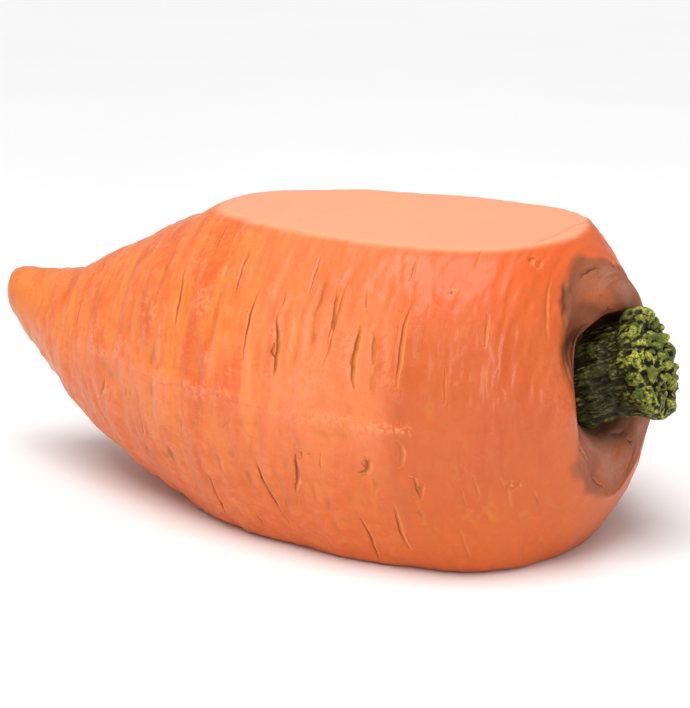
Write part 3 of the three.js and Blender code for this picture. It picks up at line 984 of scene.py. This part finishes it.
def crownWashAndShade(f, noise, colour, stain, groove):
    # the brown wash round the stub, with painted shade in its hollows, its cuts and round the stub's foot
    fold = f.attribute("fold")
    return layered(f, colour, [
        (stain * (0.55 + 0.45 * noise["patch"].between(0.3, 0.6)) * 0.78, "stain"),
        (stain * fold.between(0.15, 0.8) * noise["streak"].between(0.4, 0.65) * 0.6, "stainPale"),
        # darker in the hollows between the swellings: painted shade; the specks below are darker stain
        (stain * (1 - fold.between(-0.7, 0.05)) * 0.6, "stainDarkAndShade"),
        (stain * noise["speck"].between(0.52, 0.72) * 0.4, "stainDarkAndShade"),
        # darker in the cuts within the stain: painted shade
        (stain * groove * 0.8, "cutDark"),
        # dark round the stub's foot: painted shade
        (f.attribute("hollow") * 0.8, "hollow"),
    ])


def paintedShell():
    f = Finish("paintedShell")
    noise = {name: f.noise(*settings) for name, settings in paintNoise.items()}
    spot = f.node("SeparateXYZ", None, {0: f.node("TexCoord", output="Object")})
    z = Wire(f.tree, spot.socket.node.outputs[2])
    along = (spot - tipX * mm) * (1 / (bodyLength * mm))
    seatShare, stain = f.attribute("seatShare"), f.attribute("stain")
    colour, low, upper = orangeGlazesAndPaintedLight(f, noise, along, z, seatShare)
    colour, groove = cutGlazesAndPaintedLight(f, noise, colour)
    colour = crownWashAndShade(f, noise, colour, stain, groove)

    calm = 1 - seatShare * 0.75
    strokes = noise["brush"] * 0.25 + noise["lumps"] * 0.8 + noise["mottle"] * 1.1
    bump = f.bump(strokes * calm - groove * 0.6, 1.3 * mm, 0.8)
    grain = f.bump(noise["speck"], 0.25 * mm, 0.5, bump)
    rough = 0.42 + 0.2 * noise["patch"] + 0.2 * stain
    shine = 0.45 - 0.3 * stain - 0.2 * low - 0.25 * upper
    return f.surface({
        "Base Color": colour, "Roughness": rough, "Normal": grain, "IOR": 1.4,
        "Coat Weight": shine * (1 - groove), "Coat Roughness": paint["coatRoughness"], "Coat IOR": 1.5,
    })


def rawLaminate():
    f = Finish("rawLaminate")
    fibres = f.noise((1.6, 9, 9), 4, 0.7, 1.5)
    crossed = f.noise((9, 1.6, 9), 4, 0.7, 1.5)
    mat = fibres * 0.5 + crossed * 0.5
    pool = f.noise((60, 60, 60), 2)
    colour = f.mix(mat.between(0.4, 0.6), linear(158, 134, 84), linear(206, 188, 140))
    colour = f.mix(pool.between(0.45, 0.65) * 0.4, colour, linear(134, 108, 62))
    return f.surface({
        "Base Color": colour, "Roughness": 0.35 + 0.4 * mat, "Normal": f.bump(mat, 0.6 * mm, 0.8)})


stalkPaint = {
    "black": linear(12, 10, 3),
    "shadow": linear(30, 22, 6),
    "dark": linear(38, 40, 10),
    "green": linear(84, 94, 30),
    "bright": linear(196, 190, 72),
    "tan": linear(112, 98, 34),
}


def stalkFinish():
    f = Finish("stalkPaint")
    raised = f.attribute("raised")
    knob = f.attribute("knob")
    toEnd = f.attribute("toEnd")
    speck = f.noise((4, 2.6, 2.6), 4, 0.7)
    fleck = f.noise((3.2, 1.8, 1.8), 3, 0.7)
    patch = f.noise((26, 22, 22), 3, 0.5, 0.5)
    fibre = f.noise((9, 2.2, 2.2), 4, 0.65)
    lit = raised.between(-0.3, 0.5) * 0.6 + knob.between(-0.35, 0.45) * 0.4
    flecks = fleck.between(0.52, 0.66) * patch.between(0.3, 0.6) * raised.between(-0.5, 0.3)
    # bright specks on the most raised points: dry-brushed paint and a painted highlight
    drybrushAndHighlight = lit.between(0.5, 1.0) * speck.between(0.4, 0.62) * patch.between(0.36, 0.62)
    # deep marks the stub's recesses, painted black as painted shade
    deep = (1 - raised.between(-0.9, -0.1)) * 0.6 + (1 - knob.between(-0.8, -0.15)) * 0.5
    colour = layered(f, stalkPaint["shadow"], [
        (lit.between(0.15, 0.6), "dark"),
        (lit.between(0.35, 0.85) * (0.12 + 0.88 * toEnd), "green"),
        (flecks * (0.85 - 0.4 * toEnd), "tan"),
        (drybrushAndHighlight * (0.3 + 0.7 * toEnd), "bright"),
        (deep.maths("MINIMUM", 1) * 0.9, "black"),
    ], stalkPaint)
    height = fibre * 0.6 + speck * 0.6
    return f.surface({
        "Base Color": colour, "Roughness": 0.48 + 0.2 * speck, "Normal": f.bump(height, 1.2 * mm, 0.9),
        "Coat Weight": 0.08, "Coat Roughness": 0.25, "Specular IOR Level": 0.2})


def plywood(name, axis):
    # the plies lie across the given axis: 0 for X, 2 for Z
    f = Finish(name)
    spot = f.node("SeparateXYZ", None, {0: f.node("TexCoord", output="Object")}, output=axis)
    ply = (spot * (1000 / 3)).maths("FLOORED_MODULO", 2).between(0.9, 1.1)
    scale = (40, 3, 40) if axis == 0 else (60, 3, 60)
    grain = f.noise(scale, 5, 0.6, 0.8)
    rings = f.noise((160, 14, 160), 2, 0.5, 2.5)
    colour = f.mix(grain.between(0.35, 0.65), linear(176, 134, 86), linear(214, 178, 126))
    colour = f.mix(rings.between(0.45, 0.6) * 0.35, colour, linear(150, 104, 60))
    colour = f.mix(ply * 0.3, colour, linear(128, 88, 52))
    bump = f.bump(grain, 0.4 * mm, 0.6)
    return f.surface({"Base Color": colour, "Roughness": 0.62 + 0.2 * grain, "Normal": bump})


def zincSteel():
    f = Finish("zincSteel")
    cloud = f.noise((4, 4, 4), 3)
    scratch = f.noise((0.6, 0.6, 6), 3)
    colour = f.mix(cloud.between(0.35, 0.65), linear(186, 190, 194), linear(214, 210, 196))
    return f.surface({"Base Color": colour, "Metallic": 1, "Roughness": 0.25 + 0.25 * scratch,
                      "Normal": f.bump(scratch, 0.1 * mm, 0.5)})


def dressNodes():
    flat = plywood("plyBoard", 2)
    upright = plywood("plyRib", 0)
    zinc = zincSteel()
    lining = bpy.data.materials["rawLaminate"]
    chosen = {
        "seat_board": flat, "base_board": flat, "front_rib": upright, "crown_rib": upright,
        "joint_strip": lining,
    }
    for name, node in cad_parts.items():
        if name in ("upper_shell", "lower_shell", "stalk_stub"):
            continue
        node.data.materials.clear()
        node.data.materials.append(chosen.get(name, zinc))


studio = {
    "azimuth": 30.2,
    "elevation": 15.16,
    "distance": 3.333,
    "lens": 118.8,
    "middle": 0.504,  # of the body's length from the tip
    "aimRight": 0.066,
    "aimUp": 0.0104,
    "floor": 30,
    "world": 0.36,
    # where each lamp is, where it points, how wide and high it is, its power
    "lamps": {
        "overhead": ((0.2, 0.1, 2.4), (0, 0, 0.3), 2.2, 1.6, 12),
        "window": ((2.2, -1.6, 1.1), (0.4, 0, 0.25), 0.4, 1.6, 12),
        "front": ((-0.9, -3.2, 2.2), (0, 0, 0.25), 1.4, 1.0, 3.5),
        "strip": ((1.3, -2.9, 1.5), (0.42, -0.2, 0.3), 0.16, 1.6, 7),
    },
    "sun": ((0.05, -0.8, 2.2), 2.35, 42),  # from where, strength, softness in degrees
}


def pointed(name, data, place, target=(0, 0, 0)):
    holder = bpy.data.objects.new(name, data)
    bpy.context.scene.collection.objects.link(holder)
    holder.location = place
    holder.rotation_euler = (Vector(place) - Vector(target)).to_track_quat("Z", "Y").to_euler()
    return holder


def cameraAndLights():
    scene = bpy.context.scene
    azimuth, elevation = (math.radians(studio[k]) for k in ("azimuth", "elevation"))
    level = math.cos(elevation)
    back = Vector((math.sin(azimuth) * level, -math.cos(azimuth) * level, math.sin(elevation)))
    right = Vector((math.cos(azimuth), math.sin(azimuth), 0))
    middle = Vector(((tipX + studio["middle"] * bodyLength) * mm, 0, 0.2))
    data = bpy.data.cameras.new("camera")
    data.lens = studio["lens"]
    data.clip_end = 100
    aim = middle + right * studio["aimRight"] + back.cross(right) * studio["aimUp"]
    scene.camera = pointed("camera", data, middle + back * studio["distance"], aim)

    for name, (place, target, width, height, power) in studio["lamps"].items():
        lamp = bpy.data.lights.new(name, "AREA")
        lamp.shape = "RECTANGLE"
        lamp.size, lamp.size_y, lamp.energy = width, height, power
        pointed(name, lamp, place, target)
    place, strength, softness = studio["sun"]
    lamp = bpy.data.lights.new("sun", "SUN")
    lamp.energy, lamp.angle = strength, math.radians(softness)
    pointed("sun", lamp, place)

    world = bpy.data.worlds.new("studio")
    world.use_nodes = True
    world.node_tree.nodes["Background"].inputs[0].default_value = (1, 1, 1, 1)
    world.node_tree.nodes["Background"].inputs[1].default_value = studio["world"]
    scene.world = world
    scene.view_settings.view_transform = "Standard"


def studioFloor():
    half, cells = studio["floor"] / 2, 8
    steps = np.linspace(-half, half, cells + 1)
    points = np.array([(x, y, 0) for y in steps for x in steps])
    starts = np.array([row * (cells + 1) + column for row in range(cells) for column in range(cells)])
    quads = np.stack([starts, starts + 1, starts + cells + 2, starts + cells + 1], 1)
    floor = meshPiece("studioFloor", points, quads)
    f = Finish("paleFloor")
    cloud = f.noise((900, 900, 900), 2)
    colour = f.mix(cloud, linear(240, 240, 240), linear(246, 246, 246))
    floor.data.materials.append(f.surface({"Base Color": colour, "Roughness": 0.9}))


cameraAndLights()
studioFloor()
print("studio ready")

shellFinish, liningFinish = paintedShell(), rawLaminate()
whole, core = carrotSkin()
print("skin sculpted")
jointGap = 0.05
farOff = 100
upper = shellHalf("upperSkin", whole, core, jointHeight + jointGap, seatHeight + farOff)
lower = shellHalf("lowerSkin", whole, core, -farOff, jointHeight - jointGap)
clearance, openingCorner, openingDepth = 2, 40, 20  # round the base board
openFrom = (openLow.x / mm - clearance, openLow.y / mm - clearance, -openingDepth)
openTo = (openHigh.x / mm + clearance, openHigh.y / mm + clearance, openingDepth)
opening = cutter("opening", openFrom, openTo, openingCorner)
combined(lower, "DIFFERENCE", opening)
for half, node in ((upper, "upper_shell"), (lower, "lower_shell")):
    carryOver(half, whole)
    finishPiece(half, [shellFinish, liningFinish], node, body["sharpAngle"])
discard(whole, core, opening)
print("shells split", len(upper.data.polygons), len(lower.data.polygons))

stubPiece = stalkStub()
finishPiece(stubPiece, [stalkFinish()], "stalk_stub")
print("stub made", len(stubPiece.data.polygons))

dressNodes()
print("boards and fixings finished")
